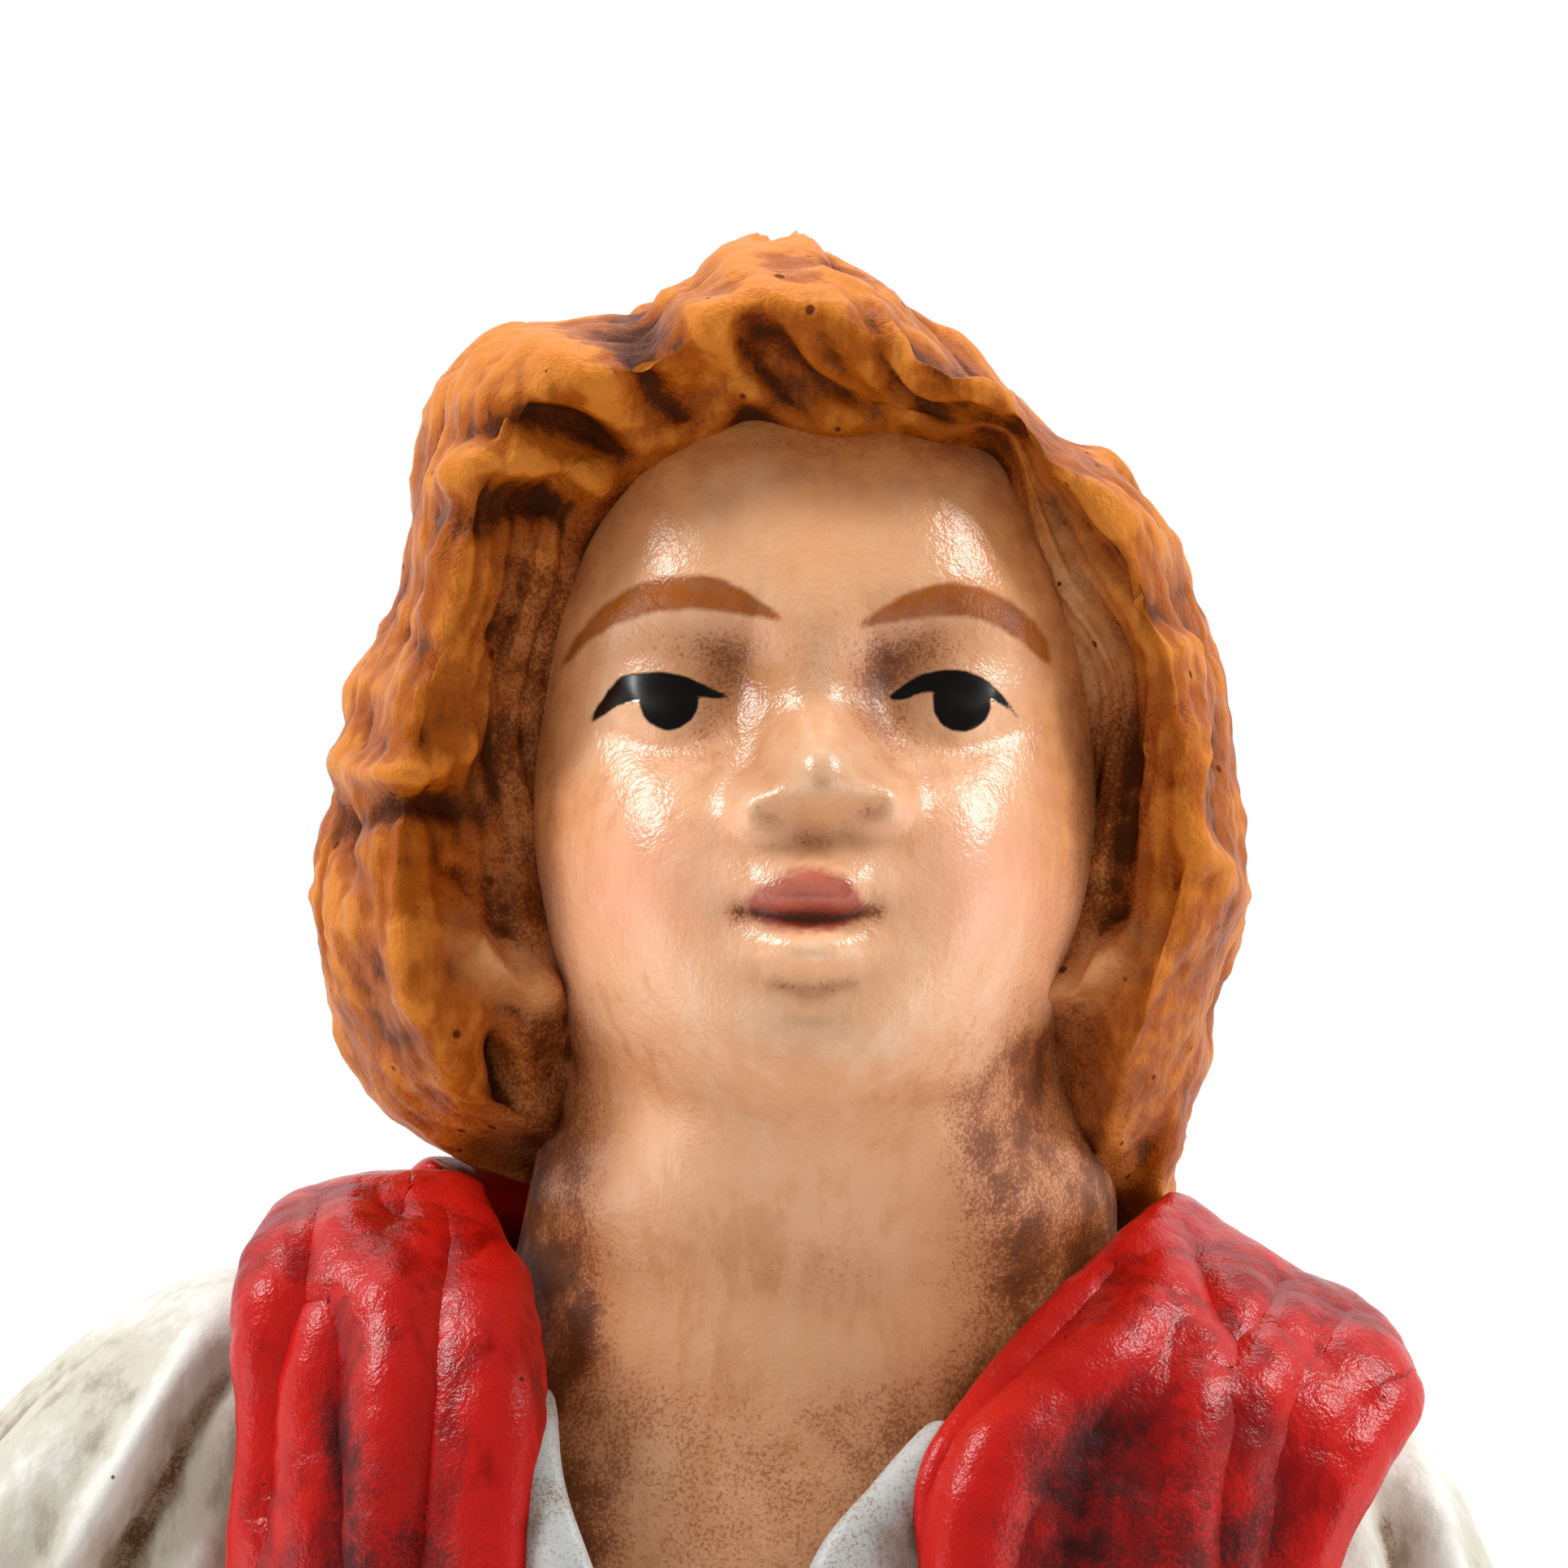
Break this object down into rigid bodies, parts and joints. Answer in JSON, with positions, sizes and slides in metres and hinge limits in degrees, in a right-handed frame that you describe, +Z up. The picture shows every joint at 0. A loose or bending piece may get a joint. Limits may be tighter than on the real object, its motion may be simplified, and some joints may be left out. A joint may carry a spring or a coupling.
{
  "type": "nativity shepherd figure",
  "caption": "Hand-painted clay shepherd boy looking up, in a red waistcoat and open shirt, standing on a ground base with a lift-out wooden crook in one fist.",
  "frame": {"origin": "on the flat underside of the ground base, below the middle of the head", "axes": "+Z up, the figure faces -Y, +X to the figure's left"},
  "size_m": [0.0902, 0.0562, 0.1479],
  "materials": {
    "flesh_paint": "satin varnished paint with brown patina",
    "hair_paint": "satin varnished paint with brown patina",
    "vest_paint": "gloss paint with brown patina",
    "shirt_paint": "satin paint with brown patina",
    "sash_paint": "satin paint",
    "breeches_paint": "satin paint",
    "stocking_paint": "satin paint",
    "boot_paint": "satin paint",
    "ground_paint": "matt paint",
    "bare_wood": "oiled",
    "steel_wire": "drawn wire"
  },
  "bodies": {
    "figure": {"ground_base": "ground_paint", "right_boot": "boot_paint", "left_boot": "boot_paint", "right_stocking": "stocking_paint", "left_stocking": "stocking_paint", "right_leg_rod": "steel_wire", "left_leg_rod": "steel_wire", "right_arm_wire": "steel_wire", "left_arm_wire": "steel_wire", "breeches": "breeches_paint", "sash": "sash_paint", "torso": "shirt_paint", "right_collar": "shirt_paint", "left_collar": "shirt_paint", "right_sleeve": "shirt_paint", "left_sleeve": "shirt_paint", "right_cuff": "shirt_paint", "left_cuff": "shirt_paint", "neck_dowel": "bare_wood", "head": "flesh_paint", "right_hand": "flesh_paint", "left_hand": "flesh_paint", "vest_back": "vest_paint", "vest_right_front": "vest_paint", "vest_left_front": "vest_paint", "hair_cap": "hair_paint", "hair_forelock": "hair_paint", "hair_temple_lock": "hair_paint", "hair_right_lock": "hair_paint", "hair_left_lock": "hair_paint"},
    "crook": {"crook": "bare_wood"}
  },
  "joints": [
    {"name": "crook_lift", "type": "slide", "parent": "figure", "child": "crook", "axis": [-0.182, -0.0778, 0.9802], "range_m": [0, 0.09]}
  ]
}
